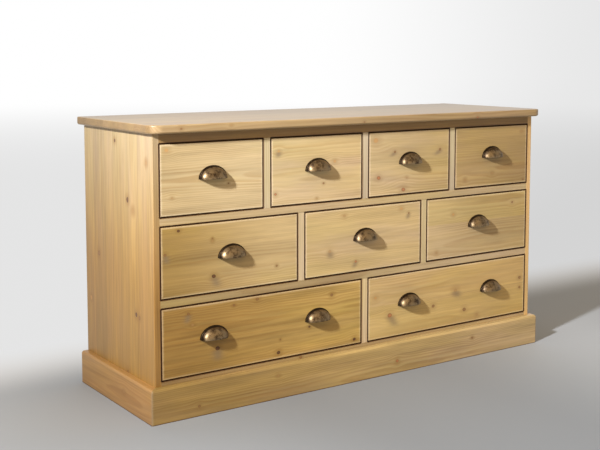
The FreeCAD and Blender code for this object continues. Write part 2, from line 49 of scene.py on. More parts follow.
# A socket of a material. An expression on wires adds its Math nodes, and node() adds any other node
class Wire:
    def __init__(self, tree, socket=None):
        self.tree = tree
        self.socket = socket

    # settings go on the node first, then values or links on its sockets
    def node(self, kind, settings=None, inputs=None, output=0):
        made = self.tree.nodes.new(kind)
        for key, value in (settings or {}).items():
            setattr(made, key, value)
        feed(made, inputs or {})
        return Wire(self.tree, made.outputs[output])

    def outputs(self):
        return [Wire(self.tree, socket) for socket in self.socket.node.outputs]

    def __add__(self, other):
        return maths("ADD", self, other)

    def __sub__(self, other):
        return maths("SUBTRACT", self, other)

    def __rsub__(self, other):
        return maths("SUBTRACT", other, self)

    def __mul__(self, other):
        return maths("MULTIPLY", self, other)

    def __truediv__(self, other):
        return maths("DIVIDE", self, other)

    def __rtruediv__(self, other):
        return maths("DIVIDE", other, self)

    def __gt__(self, other):
        return maths("GREATER_THAN", self, other)

    def __lt__(self, other):
        return maths("LESS_THAN", self, other)

    __radd__ = __add__
    __rmul__ = __mul__


# a node's sockets take links from wires, and plain values as they are
def feed(node, inputs):
    for key, value in inputs.items():
        if isinstance(value, Wire):
            value.tree.links.new(value.socket, node.inputs[key])
        else:
            node.inputs[key].default_value = value


def firstWire(values):
    return next(value for value in values if isinstance(value, Wire))


def maths(operation, *values):
    return firstWire(values).node("ShaderNodeMath", {"operation": operation}, dict(enumerate(values)))


# sums on colours and places; a length or a dot product is a plain number
def vectors(operation, *values):
    output = 1 if operation in ("LENGTH", "DOT_PRODUCT") else 0
    inputs = dict(enumerate(values))
    return firstWire(values).node("ShaderNodeVectorMath", {"operation": operation}, inputs, output)


def scaled(colour, factor):
    return colour.node("ShaderNodeVectorMath", {"operation": "SCALE"}, {0: colour, "Scale": factor})


def parts(wire, kind="ShaderNodeSeparateXYZ"):
    return wire.node(kind, None, {0: wire}).outputs()


def joined(*values):
    return firstWire(values).node("ShaderNodeCombineXYZ", None, dict(enumerate(values)))


# before below low, after above high and a smooth S between
def rise(wire, low, high, before=0.0, after=1.0, kind="SMOOTHSTEP"):
    return wire.node(
        "ShaderNodeMapRange",
        {"interpolation_type": kind},
        {"Value": wire, "From Min": low, "From Max": high, "To Min": before, "To Max": after},
    )


# the same between two places in millimetres, up to a cover or down from it
def growing(wire, low, high, cover=1.0):
    return rise(wire, low * mm, high * mm, 0.0, cover)


def fading(wire, low, high, cover=1.0):
    return rise(wire, low * mm, high * mm, cover, 0.0)


# a bell that is 1 at 0 and about 0.37 at the given width
def bell(wire, width):
    return maths("EXPONENT", wire * wire * (-1 / width**2))


# a value plus the wire's swing about its middle, 0.5, times a factor
def swing(value, wire, factor):
    return maths("MULTIPLY_ADD", wire, factor, value - factor / 2)


def mixColour(amount, first, second, kind="MIX"):
    return firstWire((amount, first, second)).node(
        "ShaderNodeMix",
        {"data_type": "RGBA", "blend_type": kind},
        {0: amount, 6: first, 7: second},
        2,
    )


# noise at a place whose axes are first stretched
def noise(place, stretch, detail=2.0, roughness=0.5):
    at = vectors("MULTIPLY", place, stretch)
    inputs = {"Vector": at, "Scale": 1.0, "Detail": detail, "Roughness": roughness}
    return at.node("ShaderNodeTexNoise", None, inputs)


# stops are places from 0 to 1, each with its red, green, blue and alpha
def ramp(wire, stops, interpolation="LINEAR"):
    made = wire.node("ShaderNodeValToRGB", None, {0: wire})
    scale = made.socket.node.color_ramp
    scale.interpolation = interpolation
    for index, (place, colour) in enumerate(stops):
        stop = scale.elements[index] if index < 2 else scale.elements.new(1.0)
        stop.position = place
        stop.color = colour
    return made


def bumped(height, strength, distance):
    inputs = {"Height": height, "Strength": strength, "Distance": distance}
    return height.node("ShaderNodeBump", None, inputs)


def newMaterial(name):
    material = bpy.data.materials.new(name)
    material.use_nodes = True
    tree = material.node_tree
    shader = next(node for node in tree.nodes if node.type == "BSDF_PRINCIPLED")
    return material, Wire(tree), shader


# Pine, cut from a log: the rings are the distance from a pith line that lies behind the board. The
# grain runs along one axis and the glued boards lie side by side across another, between the edges.
# Lengths are in millimetres
pine = {
    "grain": "x",
    "across": "z",
    "face": -222,  # where the shown surface lies along the third axis
    "tones": ((1, 1, 1), (1, 1, 1)),  # at the low and at the high end of the grain
    "span": (-1, 1),  # of these two ends
    "crossAt": None,  # where a board set across the others begins and ends along their grain
    "knots": (),  # (along, across, radius, kind, length of its streak, slant of its streak)
    "edgeKnots": (),  # the same on the board's edge, with the depth in place of across
    "frame": None,  # the corners of a drawer front, which is paler along its edges: rubbed wear and a painted highlight
    # dark wax and painted gap shade along the drawer openings: (axis, place, other axis, start, opening,
    # step)
    "gapEdges": (),
    "dirt": None,  # the direction of the faces that turn into the dark gap behind the front
    "dirtOneSided": False,
    "dirtDepth": 5,
    "greyCorner": (),  # (axis, place) of a worn edge
    "footShade": False,  # dark where the board meets the floor
    # how strong each pattern is
    "rings": 0.36,
    "ringPatches": (0.25, 1.55),  # share of that strength in the faintest and in the strongest patches
    "bands": 0.30,
    "streaks": 0.24,
    "fibres": 0.14,
    "dashes": 0.25,
    "spread": 0.14,  # from the darkest to the palest of the glued boards
    "seam": 0.35,  # the line between them
    "seamWidth": 0.7,
    # rings
    "ringWidth": 4.4,
    "ringSquash": 0.6,
    "pithDepth": 42,
    "wander": 26,
    "ripple": 2.0,
    # how far chance moves the pith, the rings (counted in rings) and the patterns (in metres)
    "pithAside": 90,
    "pithInward": 50,
    "ringShift": 9,
    "patternShift": (7.0, 3.0, 3.0),
    # colours and finish
    "early": (0.72, 0.50, 0.245),
    "late": (0.50, 0.285, 0.105),
    "golden": (1.03, 1.0, 0.80, 1),
    "rosy": (1.0, 0.955, 0.93, 1),
    "endGrain": (0.44, 0.36, 0.27),
    # the dark of wax and painted shade, for the gaps, the fronts' outlines and the line at the floor
    "gap": (0.075, 0.028, 0.007, 1),
    # screened over the fronts' edges: pale rubbed wear and a painted highlight
    "rubbed": (0.80, 0.64, 0.44, 1),
    "grey": (0.25, 0.215, 0.16, 1),
    "roughness": 0.46,
    "endRoughness": 0.18,  # what the end grain, the fibres and the bands add to it
    "fibreRoughness": 0.12,
    "bandRoughness": 0.10,
    "specular": 0.4,
    "coat": 0.18,
    "coatRoughness": 0.32,
    "bumpHeight": 0.18,
    "bumpStrength": 0.5,
    "ringRelief": 0.6,  # share of that height
    "fibreRelief": 0.55,
}
# how often each pattern changes in a metre: along the grain, across it and into the board
patterns = {
    "wobble": (60, 60, 60),
    "drift": (1.15, 2.2, 2.0),
    "tremble": (7, 24, 24),
    "patches": (2, 14, 14),
    "bands": (2.1, 21, 21),
    "streaks": (5, 95, 95),
    "fibres": (16, 620, 620),
    "hues": (2.6, 11, 11),
    "dashes": (9, 210, 210),
}
# colour of a knot, its darker rim, and how strongly it covers the wood
knotKinds = {
    "dark": ((0.13, 0.05, 0.018, 1), (0.04, 0.017, 0.008, 1), 0.95),
    "brown": ((0.27, 0.13, 0.045, 1), (0.14, 0.062, 0.024, 1), 0.80),
    "red": ((0.44, 0.16, 0.06, 1), (0.24, 0.085, 0.035, 1), 0.80),
    "soft": ((0.58, 0.29, 0.075, 1), (0.50, 0.25, 0.07, 1), 0.50),
    "faint": ((0.40, 0.23, 0.085, 1), (0.33, 0.18, 0.07, 1), 0.50),
}
# round every knot; distances are counted in its radii
knotLook = {
    "squash": 1.2,
    "wobble": 0.7,
    "bendReach": 4.5,  # how far the rings bend round it, and how much
    "bend": 0.78,
    "haloReach": 3.6,
    "halo": 0.42,
    "branchShade": (0.21, 0.155, 0.095, 1),
    "branchWidth": 2.2,
    "branchCover": 0.62,
    "relief": 0.5,
}
# traces of use, with painted shade in the gaps and at the floor and a painted highlight on the fronts'
# edges: most are given as the place where they begin, the place where they end and their cover
wear = {
    "rubbedAndHighlightEdge": (-8.5, -2.0, 0.34),  # on a drawer front, counted outwards from its edge
    "rubbedAndHighlightSway": 6,
    "waxedAndShadedEdge": (-2.2, -1.1, 0.96),
    "waxedAndShadedFace": (-217.5, -215.5),  # where the wax and painted shade end behind the front's face, along Y
    "gapEdge": (1.4, 2.6, 0.94),  # on the carcass, to both sides of an opening's edge
    "footShade": (1.2, 3.5, 0.85),  # above the floor
    "cornerWidth": 4.5,
    "cornerCover": 0.55,
    "dirtFrom": (-220.5, -219),  # where the dirt and painted shade begin behind the face of a rail, along Y
    "dirtFade": 2,
    "dirtCover": 0.85,
}


# The rings part round each knot: near it, a point reads the pattern nearer to the knot's middle
def placeKnots(look, plain, along, wide, deep):
    wobble = (noise(plain, patterns["wobble"]) - 0.5) * knotLook["wobble"]
    bent = {"knots": wide, "edgeKnots": deep}
    placed = []
    for surface, side in (("knots", wide), ("edgeKnots", deep)):
        flat = joined(along, side, 0) if look[surface] else None
        for knotAlong, knotAcross, radius, kind, streak, slant in look[surface]:
            size = (1.0 / (radius * mm), knotLook["squash"] / (radius * mm), 0)
            start = (-knotAlong * mm * size[0], -knotAcross * mm * size[1], 0)
            offset = vectors("MULTIPLY_ADD", flat, size, start)
            away = vectors("LENGTH", offset)
            pulled = bell(away, knotLook["bendReach"]) * -knotLook["bend"]
            bent[surface] = maths("MULTIPLY_ADD", side - knotAcross * mm, pulled, bent[surface])
            placed.append((away + wobble, kind, offset, radius, streak, slant))
    return bent["knots"], bent["edgeKnots"], placed


# Each knot with its soft halo and, where it has one, the grey streak of the branch's stump
def drawKnots(placed, colour, relief, late):
    for away, kind, offset, radius, streak, slant in placed:
        heart, rim, cover = knotKinds[kind]
        body = rise(away, 0.72, 1.08, cover, 0.0)
        halo = rise(away, 0.8, knotLook["haloReach"], knotLook["halo"], 0.0)
        colour = mixColour(halo, colour, late)
        if streak:
            run, side, _ = parts(offset)
            down = side * (-radius / streak)
            sway = run - side * (slant / streak)
            trace = bell(sway, knotLook["branchWidth"]) * rise(down, 0.0, 0.25)
            trace = trace * rise(down, 0.55, 1.15, knotLook["branchCover"], 0.0)
            colour = mixColour(trace, colour, knotLook["branchShade"])
        colour = mixColour(body, colour, mixColour(rise(away, 0.35, 0.85), heart, rim))
        relief = relief - body * knotLook["relief"]
    return colour, relief


# Rubbed edges of a front with a painted highlight, dark wax and painted shade at its outline and in the
# gaps, painted contact shade at the floor, and worn corners
def drawWearAndShade(look, colour, place, normal, streaks):
    axes = dict(zip("xyz", parts(place)))
    if look["frame"]:
        low, high = (np.array(corner) * mm for corner in look["frame"])
        inside = vectors("ABSOLUTE", vectors("SUBTRACT", place, (low + high) / 2))
        beside, _, above = parts(vectors("SUBTRACT", inside, (high - low) / 2))
        nearest = maths("MAXIMUM", beside, above)
        # a pale band along the front's edges: rubbed wear and a painted highlight
        pale = growing(swing(nearest, streaks, wear["rubbedAndHighlightSway"] * mm), *wear["rubbedAndHighlightEdge"])
        colour = mixColour(pale, colour, mixColour(1.0, colour, look["rubbed"], "SCREEN"))
        # a thin dark band just inside the outline: dark wax and painted gap shade
        waxedAndShaded = growing(nearest, *wear["waxedAndShadedEdge"]) * fading(axes["y"], *wear["waxedAndShadedFace"])
        colour = mixColour(waxedAndShaded, colour, look["gap"])
    # dark wax and painted gap shade to both sides of each opening's edge
    for axis, edge, other, start, opening, step in look["gapEdges"]:
        beside = fading(maths("ABSOLUTE", axes[axis] - edge * mm), *wear["gapEdge"])
        turns = maths("FRACT", (axes[other] - start * mm) * (1 / (step * mm)))
        colour = mixColour(beside * (turns < opening / step), colour, look["gap"])
    # painted contact shade just above the floor
    if look["footShade"]:
        colour = mixColour(fading(axes["z"], *wear["footShade"]), colour, look["gap"])
    for axis, edge in look["greyCorner"]:
        worn = bell(axes[axis] - edge * mm, wear["cornerWidth"] * mm) * wear["cornerCover"]
        colour = mixColour(worn, colour, look["grey"])
    # painted shade, with dirt, on faces that turn into the gap behind the front
    if look["dirt"]:
        if look["dirtOneSided"]:
            turn = vectors("DOT_PRODUCT", normal, look["dirt"])
        else:
            turn = vectors("LENGTH", vectors("MULTIPLY", normal, look["dirt"]))
        end = wear["dirtFrom"][0] + look["dirtDepth"]
        fade = wear["dirtFade"]
        shaded = rise(turn, 0.45, 0.9) * growing(axes["y"], *wear["dirtFrom"])
        shaded = shaded * fading(axes["y"], end - fade, end + fade, wear["dirtCover"])
        colour = mixColour(shaded, colour, look["gap"])
    return colour


def makePine(name, **changes):
    look = {**pine, **changes}
    material, wire, shader = newMaterial(name)
    place = wire.node("ShaderNodeTexCoord", output="Object")
    normal = place.outputs()[1]
    axes = dict(zip("xyz", parts(place)))
    facing = dict(zip("xyz", parts(normal)))
    grain = look["grain"]
    across = look["across"]
    depth = next(axis for axis in "xyz" if axis not in (grain, across))
    along = axes[grain]
    wide = axes[across]
    deep = axes[depth]
    lengthwise = maths("ABSOLUTE", facing[grain])
    # a board set across the others reads its grain along the third axis
    if look["crossAt"]:
        low, high = (edge * mm for edge in look["crossAt"])
        sidewards = maths("ABSOLUTE", facing[depth])
        crossed = (along > low) * (along < high) * (sidewards < 0.5)
        along, deep = along + crossed * (deep - along), deep + crossed * (along - deep)
        lengthwise = lengthwise + crossed * (sidewards - lengthwise)

    # every glued board has three random numbers of its own, beside the place of its middle
    edges = look["edges"]
    whole = edges[-1] - edges[0]
    chance = np.random.default_rng(look["seed"])
    share = rise(wide, edges[0] * mm, edges[-1] * mm, kind="LINEAR")
    places = [(edge - edges[0]) / whole for edge in edges]
    stops = [(low, (*chance.random(3), (low + high) / 2)) for low, high in zip(places, places[1:])]
    board = ramp(share, stops + [(1.0, stops[-1][1])], "CONSTANT")
    middle = maths("MULTIPLY_ADD", board.outputs()[1], whole * mm, edges[0] * mm)
    luckA, luckB, luckC = parts(board, "ShaderNodeSeparateColor")
    plain = joined(along, wide, deep)
    inBoard = vectors("MULTIPLY_ADD", board, look["patternShift"], plain)

    # rings: each one darkens slowly into its late wood, and they are fainter in some patches
    bentWide, bentDeep, placed = placeKnots(look, plain, along, wide, deep)
    drift = noise(inBoard, patterns["drift"], 1.0)
    tremble = noise(inBoard, patterns["tremble"])
    sideways = swing(bentWide - middle, luckA, look["pithAside"] * mm)
    squash = look["ringSquash"]
    pith = (look["pithDepth"] - look["face"] * squash) * mm
    inward = maths("MULTIPLY_ADD", bentDeep, squash, pith) + luckC * (look["pithInward"] * mm)
    distance = vectors("LENGTH", joined(sideways, inward, 0))
    distance = swing(swing(distance, drift, look["wander"] * mm), tremble, look["ripple"] * mm)
    age = maths("FRACT", distance / (look["ringWidth"] * mm) + luckB * look["ringShift"])
    ring = rise(age, 0.10, 0.86) * rise(age, 0.88, 1.0, 1.0, 0.0)
    faintest, strongest = (strength * look["rings"] for strength in look["ringPatches"])
    ring = ring * rise(noise(inBoard, patterns["patches"]), 0.3, 0.72, faintest, strongest)

    # light and dark along the grain, in wide bands, finer streaks and fibres
    bands = noise(inBoard, patterns["bands"], 3.0, 0.6)
    streaks = noise(inBoard, patterns["streaks"], 3.0, 0.6)
    fibres = noise(inBoard, patterns["fibres"], 2.0, 0.7)
    light = swing(bands * (2 * look["bands"]), streaks, 2 * look["streaks"])
    light = swing(light, fibres, look["fibres"]) + (1 - look["bands"])
    light = swing(light, luckC, look["spread"])
    lowTone, highTone = look["tones"]
    early, late = ((*np.multiply(look[wood], lowTone), 1) for wood in ("early", "late"))
    hues = swing(noise(inBoard, patterns["hues"], 3.0, 0.6), luckB, 0.3)
    tint = mixColour(rise(hues, 0.32, 0.68), look["golden"], look["rosy"])
    colour = scaled(vectors("MULTIPLY", mixColour(ring, early, late), tint), light)
    if highTone != lowTone:
        low, high = (end * mm for end in look["span"])
        change = (*np.divide(highTone, lowTone), 1)
        colour = vectors("MULTIPLY", colour, mixColour(rise(along, low, high), (1, 1, 1, 1), change))

    # resin: short thin darker dashes along the grain
    dashes = noise(inBoard, patterns["dashes"], 1.0)
    colour = mixColour(rise(dashes, 0.66, 0.80, 0.0, look["dashes"]), colour, late)

    relief = ring * look["ringRelief"] + fibres * look["fibreRelief"]
    colour, relief = drawKnots(placed, colour, relief, late)
    # the lines between glued boards
    if len(places) > 2:
        thin = look["seamWidth"] / whole
        seams = [(0.0, (0, 0, 0, 1))]
        for spot in places[1:-1]:
            for step, shade in ((-thin, 0), (0, look["seam"]), (thin, 0)):
                seams.append((spot + step, (shade, shade, shade, 1)))
        colour = mixColour(ramp(share, seams), colour, late)
    ends = rise(lengthwise, 0.6, 0.9)
    colour = mixColour(ends, colour, vectors("MULTIPLY", colour, look["endGrain"]))
    colour = drawWearAndShade(look, colour, place, normal, streaks)

    gloss = swing(ends * look["endRoughness"] + look["roughness"], fibres, look["fibreRoughness"])
    finish = {
        "Base Color": colour,
        "Roughness": swing(gloss, bands, look["bandRoughness"]),
        "Normal": bumped(relief, look["bumpStrength"], look["bumpHeight"] * mm),
        "Specular IOR Level": look["specular"],
        "Coat Weight": look["coat"],
        "Coat Roughness": look["coatRoughness"],
    }
    feed(shader, finish)
    return material


def dress(node, material):
    mesh = nodes[node].data
    if not mesh.materials:
        mesh.materials.append(material)
    for slot in nodes[node].material_slots:
        slot.material = material


# A pine of its own for one node, with that node's tones along its length
def dressPine(node, **changes):
    low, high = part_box(node)
    axis = "xyz".index({**pine, **changes}["grain"])
    changes.setdefault("span", (low[axis] / mm, high[axis] / mm))
    tones = boardTonesAndShade.get(node, pine["tones"])
    dress(node, makePine("pine " + node.replace("_", " "), tones=tones, **changes))


# Tints of the boards at the low and at the high end of their grain: partly each log's own colour, partly
# painted light and shade standing in for how the lamp falls on them
boardTonesAndShade = {
    "drawer_a1_front": ((0.74, 0.86, 0.99), (0.84, 1.0, 1.23)),
    "drawer_a2_front": ((0.78, 0.91, 1.15), (0.77, 0.86, 1.12)),
    "drawer_a3_front": ((0.74, 0.84, 1.18), (0.67, 0.74, 0.8)),
    "drawer_a4_front": ((0.55, 0.58, 0.59), (0.48, 0.49, 0.46)),
    "drawer_b1_front": ((0.48, 0.47, 0.31), (0.77, 0.87, 0.94)),
    "drawer_b2_front": ((0.8, 0.9, 1.07), (0.79, 0.88, 1.12)),
    "drawer_b3_front": ((0.74, 0.84, 1.0), (0.62, 0.68, 0.66)),
    "drawer_c1_front": ((0.48, 0.43, 0.23), (0.70, 0.71, 0.48)),
    "drawer_c2_front": ((0.77, 0.83, 0.85), (0.71, 0.73, 0.62)),
    # painted shade: the left side is darkened against the lamp, most at its low end
    "side_left": ((0.49, 0.41, 0.24), (0.60, 0.68, 0.90)),
    # painted shade: the top rail lies in the shadow of the top
    "rail_top": ((0.41, 0.38, 0.35), (0.41, 0.38, 0.35)),
    "rail_upper": ((0.71, 0.81, 1.02), (0.71, 0.82, 1.06)),
    "rail_lower": ((0.47, 0.51, 0.5), (0.71, 0.82, 1.12)),
    "rail_bottom": ((0.50, 0.52, 0.50), (0.66, 0.74, 0.86)),
    "dividers_row_a": ((0.78, 0.99, 1.5), (0.78, 0.99, 1.5)),
    "dividers_row_b": ((0.85, 1.03, 1.49), (0.85, 1.03, 1.49)),
    "divider_row_c": ((0.9, 1.06, 1.48), (0.9, 1.06, 1.48)),
    "plinth_front": ((0.53, 0.52, 0.4), (0.74, 0.82, 0.98)),
    "plinth_left": ((0.58, 0.48, 0.35), (0.58, 0.48, 0.35)),
    # painted shade: the top is darkened against the light falling on it
    "top": ((0.53, 0.56, 0.64), (0.51, 0.53, 0.57)),
}

# Drawer fronts: each is one or two boards with the grain across the chest
fronts = {
    "drawer_a1_front": {
        "edges": (587, 794),
        "seed": 1,
        "rings": 0.42,
        "knots": [
            (-505, 669, 3, "brown", 0, 0),
            (-706, 776, 7, "soft", 0, 0),
            (-690, 640, 4, "faint", 0, 0),
        ],
    },
    "drawer_a2_front": {
        "edges": (587, 700, 794),
        "seed": 2,
        "knots": [
            (-329, 753, 5, "soft", 26, 4),
            (-342, 624, 5, "red", 0, 0),
            (-164, 645, 4, "brown", 0, 0),
            (-121, 711, 6, "soft", 0, 0),
            (-190, 600, 4, "faint", 0, 0),
        ],
    },
    "drawer_a3_front": {
        "edges": (587, 668, 794),
        "seed": 3,
        "knots": [
            (42, 768, 11, "soft", 0, 0),
            (121, 728, 5, "brown", 20, 14),
            (316, 726, 6, "brown", 24, 18),
            (54, 647, 8, "red", 0, 0),
            (158, 602, 9, "red", 0, 0),
            (172, 640, 4, "faint", 0, 0),
        ],
    },
    "drawer_a4_front": {
        "edges": (587, 794),
        "seed": 4,
        "rings": 0.42,
        "knots": [
            (431, 615, 5, "faint", 0, 0),
            (712, 598, 4, "brown", 0, 0),
            (701, 770, 5, "faint", 0, 0),
            (560, 630, 5, "faint", 0, 0),
        ],
    },
    "drawer_b1_front": {
        "bands": 0.40,
        "edges": (352, 559),
        "seed": 5,
        "knots": [
            (-671, 544, 5, "dark", 0, 0),
            (-560, 504, 4, "faint", 0, 0),
            (-714, 479, 5, "brown", 34, -6),
            (-556, 400, 7, "dark", 44, -14),
            (-338, 406, 4, "brown", 0, 0),
            (-560, 512, 3, "brown", 0, 0),
        ],
    },
    "drawer_b2_front": {
        "edges": (352, 559),
        "seed": 6,
        "knots": [
            (-139, 428, 6, "faint", 30, -4),
            (-37, 385, 5, "red", 26, 8),
            (-83, 536, 6, "faint", 0, 0),
            (182, 523, 4, "brown", 26, 6),
            (150, 540, 6, "soft", 0, 0),
        ],
    },
    "drawer_b3_front": {
        "edges": (352, 470, 559),
        "seed": 7,
        "knots": [
            (305, 376, 5, "faint", 0, 0),
            (660, 520, 5, "brown", 0, 0),
            (380, 500, 6, "soft", 0, 0),
        ],
    },
    "drawer_c1_front": {
        "bands": 0.42,
        "streaks": 0.34,
        "edges": (117, 217, 324),
        "seed": 8,
        "knots": [
            (-489, 305, 4, "brown", 0, 0),
            (-408, 313, 6, "brown", 0, 0),
            (-641, 300, 5, "brown", 36, 6),
            (-628, 266, 5, "faint", 0, 0),
            (-546, 184, 8, "dark", 48, -2),
            (-332, 136, 7, "dark", 0, 0),
            (-325, 176, 3, "brown", 0, 0),
            (-217, 200, 4, "dark", 0, 0),
            (-41, 133, 6, "dark", 0, 0),
            (-131, 289, 6, "brown", 0, 0),
        ],
    },
    "drawer_c2_front": {
        "edges": (117, 226, 324),
        "seed": 9,
        "knots": [
            (105, 190, 9, "red", 52, -26),
            (293, 195, 7, "brown", 0, 0),
            (436, 164, 8, "brown", 0, 0),
            (394, 236, 9, "faint", 34, -12),
            (704, 244, 7, "brown", 0, 0),
            (705, 208, 6, "brown", 0, 0),
            (496, 138, 6, "faint", 0, 0),
            (45, 256, 6, "soft", 0, 0),
        ],
    },
}
for node, board in fronts.items():
    outline = [np.array(corner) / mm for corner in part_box(node)]
    dressPine(node, frame=outline, dirt=(1, 0, 1), **board)
print("drawer fronts finished")

# Openings for the drawers: the left edge of a row's first one, its width and the step to the next,
# and the same for the rows, upwards
bays = {"a": (-730, 346.25, 371.25), "b": (-730, 470, 495), "c": (-730, 717.5, 742.5)}
rowSteps = (115, 211, 235)


# both edges of each divider in a row of so many drawers
def dividerEdges(row, drawers):
    first, opening, step = bays[row]
    edges = [first + step * bay + way for bay in range(drawers - 1) for way in (opening, step)]
    return [("x", edge, "z", *rowSteps) for edge in edges]


# Carcass boards that show: glued staves at the sides, rails and dividers in front, plinth round the foot
sideBoard = {"grain": "z", "across": "y", "dirtOneSided": True}
dividerBoard = {"grain": "z", "across": "x", "dirt": (1, 0, 0)}
plinthBoard = {"edges": (0, 102), "rings": 0.4, "footShade": True}
carcass = {
    "side_left": {
        **sideBoard,
        "edges": (-222, -184, -128, -62, 40, 96, 180, 250),
        "face": -750,
        "seed": 21,
        "streaks": 0.34,
        "span": (330, 900),
        "dirt": (1, 0, 0),
        "gapEdges": [("x", -730, "z", *rowSteps)],
        "knots": [
            (789, 24, 6, "dark", 0, 0),
            (621, -57, 8, "dark", 0, 0),
            (431, 152, 9, "brown", 0, 0),
            (279, 218, 8, "soft", 0, 0),
            (290, -107, 8, "dark", 0, 0),
            (284, -128, 6, "brown", 0, 0),
            (103, -45, 8, "brown", 0, 0),
            (740, -183, 7, "faint", 0, 0),
            (593, -93, 8, "faint", 0, 0),
        ],
    },
    "side_right": {
        **sideBoard,
        "edges": (-222, -150, -70, 30, 104, 190, 250),
        "face": 750,
        "seed": 29,
        "dirt": (-1, 0, 0),
        "gapEdges": [("x", 730, "z", *rowSteps)],
        "knots": [
            (640, -110, 6, "brown", 0, 0),
            (410, 60, 8, "red", 0, 0),
            (250, -180, 5, "dark", 0, 0),
            (700, 150, 7, "soft", 0, 0),
            (190, 120, 6, "brown", 0, 0),
        ],
    },
    "rail_top": {
        "edges": (796, 824),
        "seed": 31,
        "dirt": (0, 0, -1),
        "dirtOneSided": True,
        "gapEdges": [("z", 796, "x", *bays["a"])],
    },
    "rail_upper": {
        "edges": (561, 585),
        "seed": 32,
        "dirt": (0, 0, 1),
        "gapEdges": [("z", 585, "x", *bays["a"]), ("z", 561, "x", *bays["b"])],
    },
    "rail_lower": {
        "edges": (326, 350),
        "seed": 33,
        "dirt": (0, 0, 1),
        "gapEdges": [("z", 350, "x", *bays["b"]), ("z", 326, "x", *bays["c"])],
    },
    "rail_bottom": {
        "edges": (79, 115),
        "seed": 34,
        "dirt": (0, 0, 1),
        "dirtOneSided": True,
        "gapEdges": [("z", 115, "x", *bays["c"])],
        "knots": [(-250, 108, 5, "brown", 0, 0)],
    },
    "dividers_row_a": {
        **dividerBoard,
        "edges": (-386, -200, 200, 400),
        "seed": 41,
        "gapEdges": dividerEdges("a", 4),
    },
    "dividers_row_b": {
        **dividerBoard,
        "edges": (-270, 0, 270),
        "seed": 44,
        "gapEdges": dividerEdges("b", 3),
    },
    "divider_row_c": {
        **dividerBoard,
        "edges": (-13, 13),
        "seed": 47,
        "gapEdges": dividerEdges("c", 2),
    },
    "plinth_front": {
        **plinthBoard,
        "face": -244,
        "seed": 51,
        "bands": 0.40,
        "streaks": 0.34,
        "greyCorner": [("x", -772), ("x", 772)],
        "knots": [
            (-347, 73, 5, "faint", 0, 0),
            (-620, 30, 5, "brown", 0, 0),
            (120, 40, 6, "red", 0, 0),
            (455, 66, 5, "brown", 0, 0),
        ],
    },
    "plinth_left": {
        **plinthBoard,
        "grain": "y",
        "face": -772,
        "seed": 52,
        "greyCorner": [("y", -244)],
        "knots": [(-60, 52, 6, "faint", 0, 0)],
    },
    "plinth_right": {
        **plinthBoard,
        "grain": "y",
        "face": 772,
        "seed": 53,
        "greyCorner": [("y", -244)],
        "knots": [(40, 60, 6, "brown", 0, 0)],
    },
}
for node, board in carcass.items():
    dressPine(node, **board)
print("carcass boards finished")

# Bare pine out of sight: paler, rougher, no wax
bare = {
    "early": (0.80, 0.63, 0.39),
    "late": (0.64, 0.42, 0.20),
    "roughness": 0.66,
    "coat": 0.0,
    "rings": 0.6,
    "endGrain": (0.72, 0.66, 0.58),
}
rowLevels = {"a": 585, "b": 350, "c": 115}  # the lower edges of the openings
bareBoards = {
    "back_boards": {
        "grain": "z",
        "across": "x",
        "edges": np.linspace(-740, 740, 11).tolist(),
        "face": 250,
        "seed": 61,
        "knots": [
            (600, -640, 9, "red", 0, 0),
            (340, -500, 7, "dark", 0, 0),
            (690, -300, 8, "brown", 0, 0),
            (240, -160, 9, "red", 0, 0),
            (520, 20, 7, "dark", 0, 0),
            (730, 190, 8, "soft", 0, 0),
            (400, 330, 9, "red", 0, 0),
            (180, 480, 7, "brown", 0, 0),
            (640, 620, 8, "dark", 0, 0),
        ],
    },
    "rear_rails": {"edges": (79, 220, 450, 700, 824), "face": 200, "seed": 75},
    "kickers": {
        "grain": "y",
        "across": "x",
        "edges": (-750, -400, -150, 150, 400, 750),
        "face": 800,
        "seed": 81,
    },
    "plinth_back": {"edges": (0, 79), "face": 250, "seed": 87},
    "plinth_blocks": {"edges": (19, 79), "face": -192, "seed": 88},
    "drawer_stops": {"across": "y", "edges": (-200, -187), "face": 350, "seed": 89},
    "drawer_guides": {
        "grain": "y",
        "across": "x",
        "edges": (-400, -100, 100, 400),
        "face": 600,
        "seed": 90,
    },
}
for row, level in rowLevels.items():
    bareBoards["runners_row_" + row] = {
        "grain": "y",
        "across": "x",
        "edges": (-750, -400, -150, 150, 400, 750),
        "face": level,
        "seed": 91 + level,
    }
for node, board in bareBoards.items():
    dressPine(node, **{**bare, **board})

# the drawer boxes of a row share one finish, and so do all the drawer bottoms
boxBoard = {**bare, "grain": "y", "face": -750, "crossAt": (201, 217)}
bottomBoard = {
    **bare,
    "early": (0.84, 0.70, 0.47),
    "ringWidth": 7.0,
    "across": "y",
    "edges": (-222, -110, 5, 110, 230),
    "face": 600,
    "seed": 111,
}
boxPine = {}
for row, level in rowLevels.items():
    name = "drawer side pine " + row
    boxPine[row] = makePine(name, edges=(level, level + rowSteps[1]), seed=1001 + level, **boxBoard)
bottomPine = makePine("drawer bottom pine", **bottomBoard)
for node in nodes:
    if node.endswith("_box"):
        row = node.split("_")[1][0]
        dress(node, boxPine[row])
    if node.startswith("drawer_") and node.endswith("_bottom"):
        dress(node, bottomPine)
print("inner boards finished")


# Sides of the squares of a grid of points, with the squares' corners counted from start
def gridFaces(rows, columns, start=0):
    corner = np.arange(rows * columns).reshape(rows, columns) + start
    return np.stack([corner[:-1, :-1], corner[:-1, 1:], corner[1:, 1:], corner[1:, :-1]], -1).reshape(-1, 4)


